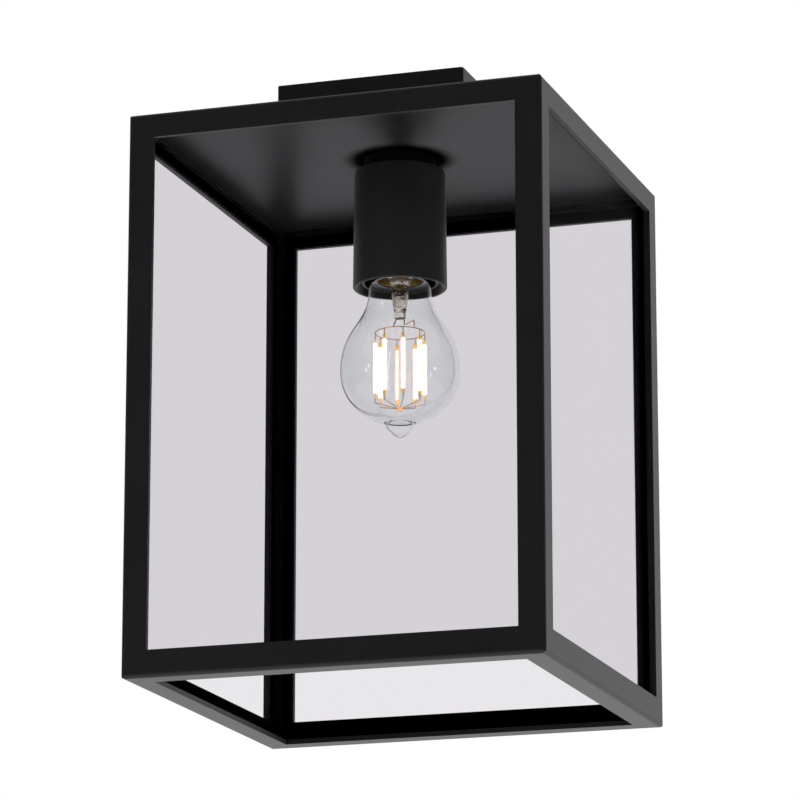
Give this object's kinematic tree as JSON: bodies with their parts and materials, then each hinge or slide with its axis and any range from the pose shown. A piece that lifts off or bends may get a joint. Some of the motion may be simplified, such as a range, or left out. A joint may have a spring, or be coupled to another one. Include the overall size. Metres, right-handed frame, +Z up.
{
  "type": "porch ceiling lantern",
  "caption": "Square black porch ceiling lantern: glazed steel angle frame open below, square canopy, round lampholder sleeve and a screw-in filament lamp.",
  "frame": {"origin": "centre of the fitting's ceiling face, midway between the bracket's two ceiling slots", "axes": "+Z up into the ceiling, -Y towards the front, +X to the right seen from the front; the bracket's strap lies along X"},
  "size_m": [0.21, 0.21, 0.307],
  "materials": {
    "black_powder_coat": "fine satin black powder coat",
    "black_zinc_screw": "black passivated screw",
    "zinc_plated_steel": "bright zinc plating",
    "brass": "drawn brass, slightly dulled",
    "spring_steel": "bright spring wire",
    "black_thermoset": "moulded black thermoset with a low sheen",
    "white_nylon": "moulded translucent white nylon",
    "porcelain": "white unglazed porcelain",
    "earth_insulation": "green and yellow insulation",
    "live_insulation": "brown insulation",
    "neutral_insulation": "blue insulation",
    "clear_glass": "clear float glass, ground edges",
    "glazing_tape": "matt black foam glazing tape",
    "lamp_glass": "clear blown glass",
    "stem_glass": "clear lead-free stem glass",
    "tin_plated_contact": "tinned contact plate",
    "black_glass": "black vitrite",
    "circuit_board": "small driver board with its parts",
    "nickel_wire": "plain nickel-plated wire",
    "filament_phosphor": "pale phosphor coating",
    "gilt_tab": "gilt end tab",
    "amber_glass": "amber glass bead"
  },
  "bodies": {
    "fixture": {"ceiling_bracket": "zinc_plated_steel", "canopy": "black_powder_coat", "canopy_side_screws": "black_zinc_screw", "canopy_studs": "zinc_plated_steel", "canopy_stud_nuts": "zinc_plated_steel", "earth_screw": "brass", "earth_lead": "earth_insulation", "terminal_block": "white_nylon", "terminal_block_screws": "brass", "live_lead": "live_insulation", "neutral_lead": "neutral_insulation", "threaded_tube": "zinc_plated_steel", "tube_nut": "zinc_plated_steel", "tube_washer": "zinc_plated_steel", "roof_plate": "black_powder_coat", "top_rail_front": "black_powder_coat", "top_rail_right": "black_powder_coat", "top_rail_back": "black_powder_coat", "top_rail_left": "black_powder_coat", "post_front_left": "black_powder_coat", "post_front_right": "black_powder_coat", "post_back_right": "black_powder_coat", "post_back_left": "black_powder_coat", "bottom_rail_front": "black_powder_coat", "bottom_rail_right": "black_powder_coat", "bottom_rail_back": "black_powder_coat", "bottom_rail_left": "black_powder_coat", "glazing_tape_front": "glazing_tape", "glazing_tape_right": "glazing_tape", "glazing_tape_back": "glazing_tape", "glazing_tape_left": "glazing_tape", "glass_pane_front": "clear_glass", "glass_pane_right": "clear_glass", "glass_pane_back": "clear_glass", "glass_pane_left": "clear_glass", "sleeve_spacer": "black_powder_coat", "holder_sleeve": "black_powder_coat", "holder_cap": "black_thermoset", "holder_skirt": "black_thermoset", "holder_insert": "porcelain", "holder_terminals": "brass", "holder_terminal_screws": "brass", "screw_shell": "brass", "contact_spring": "spring_steel"},
    "lamp_centre": {"lamp_contact": "tin_plated_contact"},
    "lamp": {"lamp_insulator": "black_glass", "lamp_cap": "brass", "lamp_driver": "circuit_board", "lamp_envelope": "lamp_glass", "lamp_stem": "stem_glass", "lamp_lead_wires": "nickel_wire", "lamp_upper_ring": "nickel_wire", "lamp_filaments": "filament_phosphor", "lamp_filament_tabs": "gilt_tab", "lamp_lower_star": "nickel_wire", "lamp_bead": "amber_glass"},
    "sprung_contact": {"contact_plunger": "brass"}
  },
  "joints": [
    {"name": "lamp_travel", "type": "slide", "parent": "fixture", "child": "lamp_centre", "axis": [0, 0, -1], "range_m": [0, 0.0182]},
    {"name": "lamp_turn", "type": "hinge", "parent": "lamp_centre", "child": "lamp", "pos_m": [0, 0, -0.082], "axis": [0, 0, -1], "range_deg": [0, 1800]},
    {"name": "contact_press", "type": "slide", "parent": "fixture", "child": "sprung_contact", "axis": [0, 0, 1], "range_m": [0, 0.001], "stiffness_N_per_m": 1500, "springref_m": -0.0003, "deforming": ["contact_spring"]}
  ],
  "couplings": [
    {"joint": "lamp_travel", "follows": "lamp_turn", "m_per_rad": 0.0005776}
  ]
}
